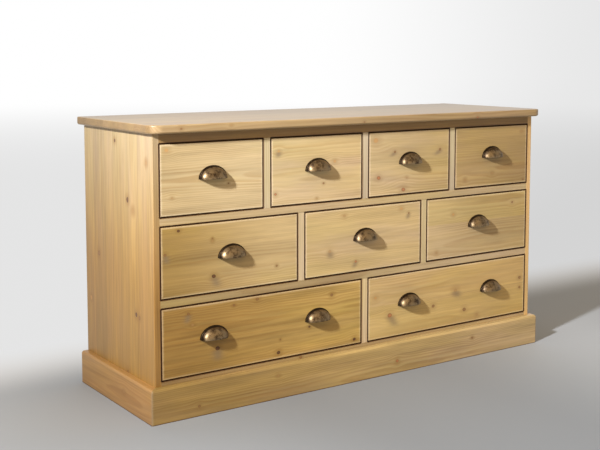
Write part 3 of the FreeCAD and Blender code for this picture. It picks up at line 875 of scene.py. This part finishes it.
# One mesh from several grids of points in metres; where grids meet, they share their edge points
def addPiece(name, grids, material, body, slotName, *standsFor):
    points = np.concatenate([grid.reshape(-1, 3) for grid in grids])
    starts = np.cumsum([0] + [grid.shape[0] * grid.shape[1] for grid in grids])
    faces = np.concatenate([gridFaces(*grid.shape[:2], start) for grid, start in zip(grids, starts)])
    mesh = bpy.data.meshes.new(name)
    mesh.from_pydata(points.tolist(), [], faces.tolist())
    work = bmesh.new()
    work.from_mesh(mesh)
    bmesh.ops.remove_doubles(work, verts=work.verts, dist=2e-6)
    bmesh.ops.dissolve_degenerate(work, edges=work.edges, dist=1e-7)
    bmesh.ops.recalc_face_normals(work, faces=work.faces)
    work.to_mesh(mesh)
    work.free()
    mesh.polygons.foreach_set("use_smooth", np.ones(len(mesh.polygons), bool))
    mesh.set_sharp_from_angle(angle=math.radians(40))
    mesh.materials.append(material)
    piece = bpy.data.objects.new(name, mesh)
    bpy.context.scene.collection.objects.link(piece)
    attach(piece, body)
    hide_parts(*standsFor)


# Top board: an edge profile carried round the left end, front and right end
topBoard = {
    "cornerRadius": 38,
    "underRound": 7,
    "upperRound": 4,
    "cornerSteps": 24,
    "roundSteps": 10,
}
topPine = {
    "across": "y",
    "edges": (-256, -150, -46, 62, 164, 256),
    "face": 849,
    "seed": 11,
    "golden": (1.0, 0.97, 0.86, 1),
    "endGrain": (0.68, 0.63, 0.56),
    "roughness": 0.34,
    "coat": 0.3,
    "knots": [
        (-420, -60, 7, "red", 0, 0),
        (180, 40, 8, "brown", 0, 0),
        (560, 130, 6, "soft", 0, 0),
        (-120, 160, 7, "brown", 0, 0),
    ],
    "edgeKnots": [
        (-676, 837, 4, "brown", 0, 0),
        (-514, 841, 4, "faint", 0, 0),
        (-31, 832, 4, "brown", 0, 0),
        (454, 830, 5, "red", 0, 0),
    ],
}


def makeTop():
    low, high = (np.array(corner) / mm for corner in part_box("top"))
    corner = topBoard["cornerRadius"]
    under = topBoard["underRound"]
    upper = topBoard["upperRound"]
    # the path on the left half, from the back to the middle of the front, with its outward normals
    turn = np.linspace(0, math.pi / 2, topBoard["cornerSteps"] + 1)
    arcNormal = np.stack([-np.cos(turn), -np.sin(turn)], 1)
    arc = np.array([low[0] + corner, low[1] + corner]) + corner * arcNormal
    path = np.concatenate([[[low[0], high[1]]], arc, [[0, low[1]]]])
    normal = np.concatenate([[[-1, 0]], arcNormal, [[0, -1]]])
    # the profile from the flat underside round to the flat top, as an inset from the path and a height
    bend = np.linspace(0, math.pi / 2, topBoard["roundSteps"] + 1)
    inset = np.concatenate([under - under * np.sin(bend), upper - upper * np.cos(bend)])
    lowerRound = low[2] + under - under * np.cos(bend)
    height = np.concatenate([lowerRound, high[2] - upper + upper * np.sin(bend)])
    flat = path[:, None, :] - normal[:, None, :] * inset[None, :, None]
    left = np.concatenate([flat, np.broadcast_to(height[None, :, None], flat.shape[:2] + (1,))], 2)
    right = left * np.array([-1, 1, 1])
    upperFace = np.stack([left[:, -1], right[:, -1]], 1)
    underFace = np.stack([left[:, 0], right[:, 0]], 1)
    backFace = np.stack([left[0], right[0]], 1)
    material = makePine("pine top", span=(-770, 770), tones=boardTonesAndShade["top"], **topPine)
    grids = [grid * mm for grid in (left, right, upperFace, underFace, backFace)]
    addPiece("topBoard", grids, material, "carcass", "pine_top", "top")


makeTop()
print("top finished")

# Cup pulls: cast brass with a dark patina, rubbed brighter where hands reach it
pull = {
    "cupHalfWidth": 44,
    "cupHeight": 34.5,
    "projection": 27,
    "lipFullness": 2.6,  # roundness of the cup along its lip: 2 is an ellipse, more is squarer
    "crownFullness": 2.0,  # and up its middle
    "wall": 2,
    "flangeHalfWidth": 47.5,
    "flangeThickness": 1.5,
    "flangeBevel": (0.7, 0.2),  # how far in from the flange's outer edge the bevel begins and ends
    "lipRound": 0.9,
    "filletRadius": 1.3,
    "turnSteps": 72,
    "domeSteps": 26,
    "filletSteps": 5,
    "lipSteps": 6,
    "screwSpacing": 64,
    "screwRise": 9,
    "bossRadius": 4.5,
    "bossDepth": 14.5,
    # the screw's head from its middle to its edge, with its slot: radius and height over the wood
    "screwHead": [(0, 1.3), (1.4, 1.3), (1.6, 2.45), (2.6, 2.4), (3.5, 2.1), (3.9, 1.6), (4, 1), (4, 0)],
    "shankRadius": 1.95,
    "frontThickness": 22,
}
patina = {
    "dark": (0.085, 0.056, 0.036, 1),
    "warm": (0.38, 0.275, 0.155, 1),
    "rubbed": (0.52, 0.42, 0.30, 1),
    "rim": (0.030, 0.019, 0.012, 1),
    "rimFrom": -0.2282,
    "rimFade": 0.003,
    "cloudScale": (62, 62, 62),
    "speckScale": (420, 420, 420),
    "scratchScale": (90, 400, 900),
    "roughness": 0.42,
    "bumpHeight": 0.3,
}


def makePatina():
    material, wire, shader = newMaterial("aged brass")
    place = wire.node("ShaderNodeTexCoord", output="Object")
    clouds = noise(place, patina["cloudScale"], 4.0, 0.6)
    specks = noise(place, patina["speckScale"], 3.0, 0.65)
    scratches = noise(place, patina["scratchScale"])
    # faces turned to the room are handled more; the band round the rim is dark with patina in the hollow
    # and painted shade on the cup's flank, and the steep ends get painted shade
    facing = parts(place.outputs()[1])
    frontness = rise(facing[1] * -1, 0.05, 0.85)
    worn = rise(swing(clouds, specks, 0.5), 0.30, 0.62) * (frontness * 0.6 + 0.3)
    colour = mixColour(worn, patina["dark"], patina["warm"])
    colour = mixColour(rise(specks, 0.60, 0.78) * frontness * 0.5, colour, patina["rubbed"])
    # painted shade: a dark band within a few millimetres of the drawer, partly patina in the hollow, and
    # dark steep ends of the cup
    rim = rise(parts(place)[1], patina["rimFrom"] - patina["rimFade"], patina["rimFrom"], 0.0, 0.9)
    ends = rise(maths("ABSOLUTE", facing[0]), 0.62, 0.95, 0.0, 0.85)
    colour = mixColour(maths("MAXIMUM", rim, ends), colour, patina["rim"])
    gloss = swing(frontness * -0.12 + (patina["roughness"] + 0.12), clouds, 0.22)
    bump = bumped(specks * 0.6 + clouds * 0.4, 0.4, patina["bumpHeight"] * mm)
    gloss = swing(gloss, scratches, 0.10)
    feed(shader, {"Base Color": colour, "Roughness": gloss, "Normal": bump, "Metallic": 1.0})
    return material


# A profile of radius and place along Y, turned round a line along Y through (x, z)
def turned(radius, along, x, z, steps=24):
    turn = np.linspace(0, 2 * math.pi, steps + 1)[:, None]
    along = np.ones_like(turn) * along
    return np.stack([x + np.cos(turn) * radius, along, z + np.sin(turn) * radius], -1)


# The cup: at turn t round its lip line and for profile point j, it is at (across j x cos t, out j,
# up j x sin t). The profile goes from the foremost point back to the drawer: a dome whose half-width
# is sine to a power and whose reach is cosine to the same power, a hollow, the flange and its edge
def pullGrids():
    wide = pull["cupHalfWidth"]
    tall = pull["cupHeight"]
    reach = pull["projection"]
    thin = pull["flangeThickness"]
    fillet = pull["filletRadius"]
    flange = pull["flangeHalfWidth"] - wide
    wall = pull["wall"]
    turn = np.linspace(0, math.pi, pull["turnSteps"] + 1)[:, None]
    lipShare = np.cos(turn) ** 2
    power = 2 / (pull["lipFullness"] * lipShare + pull["crownFullness"] * (1 - lipShare))
    last = np.arccos(((thin + fillet) / reach) ** (1 / power))
    dome = last * np.linspace(0, 1, pull["domeSteps"])
    bend = np.linspace(0, math.pi / 2, pull["filletSteps"] + 1)
    every = np.ones_like(turn)
    first, second = pull["flangeBevel"]
    edge = np.array([flange - first, flange - second, flange, flange])
    edgeOut = np.array([-thin, -thin + second, -thin + first, 0])
    offset = np.hstack([0 * dome, every * (fillet - fillet * np.cos(bend)), every * edge])
    hollowShare = np.sin(last) ** power * np.ones_like(bend)
    share = np.hstack([np.sin(dome) ** power, hollowShare, every * np.ones_like(edge)])
    hollowOut = -thin - fillet + fillet * np.sin(bend)
    out = np.hstack([-reach * np.cos(dome) ** power, every * hollowOut, every * edgeOut])
    across = np.cos(turn) * (wide * share + offset)
    outer = np.stack([across, out, np.sin(turn) * (tall * share + offset)], -1)
    # inside is the same dome less the wall, open at the back
    within = np.linspace(0, math.pi / 2, out.shape[1])
    girth = np.sin(within) ** power
    depth = -(reach - wall) * np.abs(np.cos(within)) ** power
    across = np.cos(turn) * (wide - wall) * girth
    inner = np.stack([across, depth, np.sin(turn) * (tall - wall) * girth], -1)
    # the back of the flange, and the rounded lip along the open lower edge
    back = np.stack([outer[:, -1], inner[:, -1]], 1)
    grids = [outer, inner, back]
    step = np.linspace(0, 1, pull["lipSteps"] + 1)[:, None, None]
    for end in (0, -1):
        lip = outer[end][None] * (1 - step) + inner[end][None] * step
        lip = lip - np.array([0, 0, pull["lipRound"]]) * np.sin(step * math.pi)
        grids.append(lip)
    # a boss and a screw at each side
    radius = pull["bossRadius"]
    depth = pull["bossDepth"]
    shank = pull["shankRadius"]
    front = pull["frontThickness"]
    boss = np.array([(0, -depth), (radius, -depth), (radius, 0), (0, 0)])
    screw = np.array([*pull["screwHead"], (shank, 0), (shank, -front), (0, -front)])
    for x in (-pull["screwSpacing"] / 2, pull["screwSpacing"] / 2):
        grids.append(turned(boss[:, 0], boss[:, 1], x, pull["screwRise"]))
        grids.append(turned(screw[:, 0], screw[:, 1] + front, x, pull["screwRise"]))
    return grids


def makePulls():
    material = makePatina()
    grids = pullGrids()
    half = pull["flangeHalfWidth"]
    for node in sorted(nodes):
        if "_pull" not in node:
            continue
        low, high = (np.array(corner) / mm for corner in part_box(node))
        middles = {"": (low[0] + high[0]) / 2}
        if node.endswith("pulls"):
            middles = {"Left": low[0] + half, "Right": high[0] - half}
        drawer = node.split("_pull")[0]
        for side, middle in middles.items():
            spot = np.array([middle, low[1] + pull["projection"], low[2]])
            placed = [(grid + spot) * mm for grid in grids]
            name = "pull" + drawer.split("_")[1].upper() + side
            addPiece(name, placed, material, drawer, "aged_brass", node)


makePulls()
print("pulls finished")

# Floor, in metres: pale grey beside the chest at the left and lighter again at the right, painted light
# where the beam reaches little and in the chest's shadow; darker before it, painted shade where the beam
# falls; white farther off
stage = {
    "greyLeft": (0.52, 0.57, 0.64, 1),  # beside the chest at the left, before it and at the right
    "greyBefore": (0.245, 0.262, 0.285, 1),
    "greyRight": (0.43, 0.455, 0.49, 1),
    "leftToBefore": (-1.3, -0.2),  # where one turns into the next, across or away
    "beforeToRight": (0.2, 1.1),
    "greyToWhite": (1.6, 3.4),
    "behindToWhite": (0.22, 0.75),
    "white": (0.9, 0.9, 0.9, 1),
    "roughness": 0.7,
    "specular": 0.2,
    "halfSize": 30.0,
    "rightwards": (0.825, -0.566, 0),  # across the picture
    # painted shade: the glowing white is darker to the right and low in the picture
    "lowLeft": (0.78, 0.78, 0.78, 1),  # the white as the camera sees it, low and high in the picture
    "lowRight": (0.66, 0.66, 0.66, 1),
    "highLeft": (1, 1, 1, 1),
    "highRight": (0.80, 0.80, 0.80, 1),
    "lowSpread": 0.45,  # how slowly left turns into right
    "highSpread": 0.32,
    "skySpread": 0.30,
    "lowToHigh": (5.0, 20.0),
}
# Soft light from all round, brightest from behind and from the right, with a warm glow from above the
# front. Gloss sees it brighter by the given amount
surround = {
    "towards": (0.6, 1.0, -0.5),
    "dimUntil": -0.7,
    "brightFrom": 1.0,
    "dim": 0.03,
    "bright": 0.80,
    "gloss": 0.12,
    "glowFrom": (-0.30, -0.80, 0.52),
    "glowReach": (0.2, 1.0),
    "glow": (0.74, 0.52, 0.25, 1),
}


def lightPath(wire):
    return {ray.socket.name: ray for ray in wire.node("ShaderNodeLightPath").outputs()}


# the glowing white as the camera sees it, painted darker with shade from the left of the picture to the
# right
def acrossPicture(direction, level, spread):
    sidewards = vectors("DOT_PRODUCT", direction, stage["rightwards"])
    return mixColour(rise(sidewards, 0.0, stage[spread]), stage[level + "Left"], stage[level + "Right"])


def makeFloor():
    material, wire, shader = newMaterial("plain floor")
    place = wire.node("ShaderNodeTexCoord", output="Object")
    across, behind, _ = parts(place)
    distance = vectors("LENGTH", place)
    far = maths("MAXIMUM", rise(distance, *stage["greyToWhite"]), rise(behind, *stage["behindToWhite"]))
    near = mixColour(rise(across, *stage["leftToBefore"]), stage["greyLeft"], stage["greyBefore"])
    near = mixColour(rise(across, *stage["beforeToRight"]), near, stage["greyRight"])
    colour = mixColour(far, near, stage["white"])
    finish = {"Roughness": stage["roughness"], "Specular IOR Level": stage["specular"]}
    feed(shader, {"Base Color": colour, **finish})
    # far off, the camera and gloss see a glowing white in place of the lit floor, with painted shade low
    # and to the right
    rays = lightPath(wire)
    straight = maths("MAXIMUM", rays["Is Camera Ray"], rays["Is Glossy Ray"])
    direction = vectors("NORMALIZE", place)
    low = acrossPicture(direction, "low", "lowSpread")
    high = acrossPicture(direction, "high", "highSpread")
    shown = mixColour(rise(distance, *stage["lowToHigh"]), low, high)
    glow = wire.node("ShaderNodeEmission", None, {"Color": shown, "Strength": 1.0})
    lit = Wire(wire.tree, shader.outputs[0])
    blend = wire.node("ShaderNodeMixShader", None, {0: far * straight, 1: lit, 2: glow})
    output = next(node for node in wire.tree.nodes if node.type == "OUTPUT_MATERIAL")
    feed(output, {"Surface": blend})

    half = stage["halfSize"]
    mesh = bpy.data.meshes.new("floor")
    corners = [(-half, -half, 0), (half, -half, 0), (half, half, 0), (-half, half, 0)]
    mesh.from_pydata(corners, [], [(0, 1, 2, 3)])
    mesh.materials.append(material)
    floor = bpy.data.objects.new("floor", mesh)
    bpy.context.scene.collection.objects.link(floor)


def makeSurround():
    world = bpy.data.worlds.new("plain studio")
    bpy.context.scene.world = world
    world.use_nodes = True
    background = next(node for node in world.node_tree.nodes if node.type == "BACKGROUND")
    wire = Wire(world.node_tree)
    direction = wire.node("ShaderNodeTexCoord", output="Generated")
    sideways = vectors("DOT_PRODUCT", direction, surround["towards"])
    ends = (surround["dimUntil"], surround["brightFrom"], surround["dim"], surround["bright"])
    rays = lightPath(wire)
    level = rays["Is Glossy Ray"] * surround["gloss"] + rise(sideways, *ends)
    frontwards = vectors("DOT_PRODUCT", direction, surround["glowFrom"])
    glow = mixColour(rise(frontwards, *surround["glowReach"]), (0, 0, 0, 1), surround["glow"])
    colour = vectors("ADD", joined(level, level, level), glow)
    # the camera sees the same glowing white, with its painted shade towards the right
    seen = maths("MAXIMUM", rays["Is Camera Ray"], rays["Is Transmission Ray"])
    colour = mixColour(seen, colour, acrossPicture(direction, "high", "skySpread"))
    feed(background, {"Color": colour, "Strength": 1.0})


makeFloor()
makeSurround()

# One lamp at the left, near the chest and a little in front of it, as the shadows show. Most of its
# light goes into a soft beam, brightest at the right, and a little of it spills all round
lamps = {
    "place": (-3.1, -1.42, 2.25),
    "beam": (0.950, 0.150, -0.275),
    "beamWatts": 920,
    "beamWidth": 68,
    "spillWatts": 80,
    "diameter": 0.26,
}


def makeLamps():
    for name, kind in (("beam", "SPOT"), ("spill", "AREA")):
        data = bpy.data.lights.new(name, kind)
        data.energy = lamps[name + "Watts"]
        if kind == "SPOT":
            data.spot_size = math.radians(lamps["beamWidth"])
            data.spot_blend = 1.0
            data.shadow_soft_size = lamps["diameter"] / 2
        else:
            data.shape = "DISK"
            data.size = lamps["diameter"]
        lamp = bpy.data.objects.new(name, data)
        bpy.context.scene.collection.objects.link(lamp)
        lamp.location = lamps["place"]
        lamp.rotation_euler = Vector(lamps["beam"]).to_track_quat("-Z", "Y").to_euler()


makeLamps()
print("stage and lamps finished")

# Camera at the photograph's place; turned to the right of straight ahead and tipped down
view = {
    "at": (-2.066, -2.866, 1.048),
    "turn": 34.447,
    "tip": 5.252,
    "sensor": 36,
    "lens": 63.51,
    "shiftUp": -0.125,
}
camera = bpy.data.cameras.new("camera")
camera.sensor_width = view["sensor"]
camera.lens = view["lens"]
camera.shift_y = view["shiftUp"]
cameraObject = bpy.data.objects.new("camera", camera)
bpy.context.scene.collection.objects.link(cameraObject)
cameraObject.location = view["at"]
cameraObject.rotation_euler = (math.radians(90 - view["tip"]), 0, math.radians(-view["turn"]))
bpy.context.scene.camera = cameraObject
bpy.context.scene.view_settings.view_transform = "Standard"

print("scene finished")
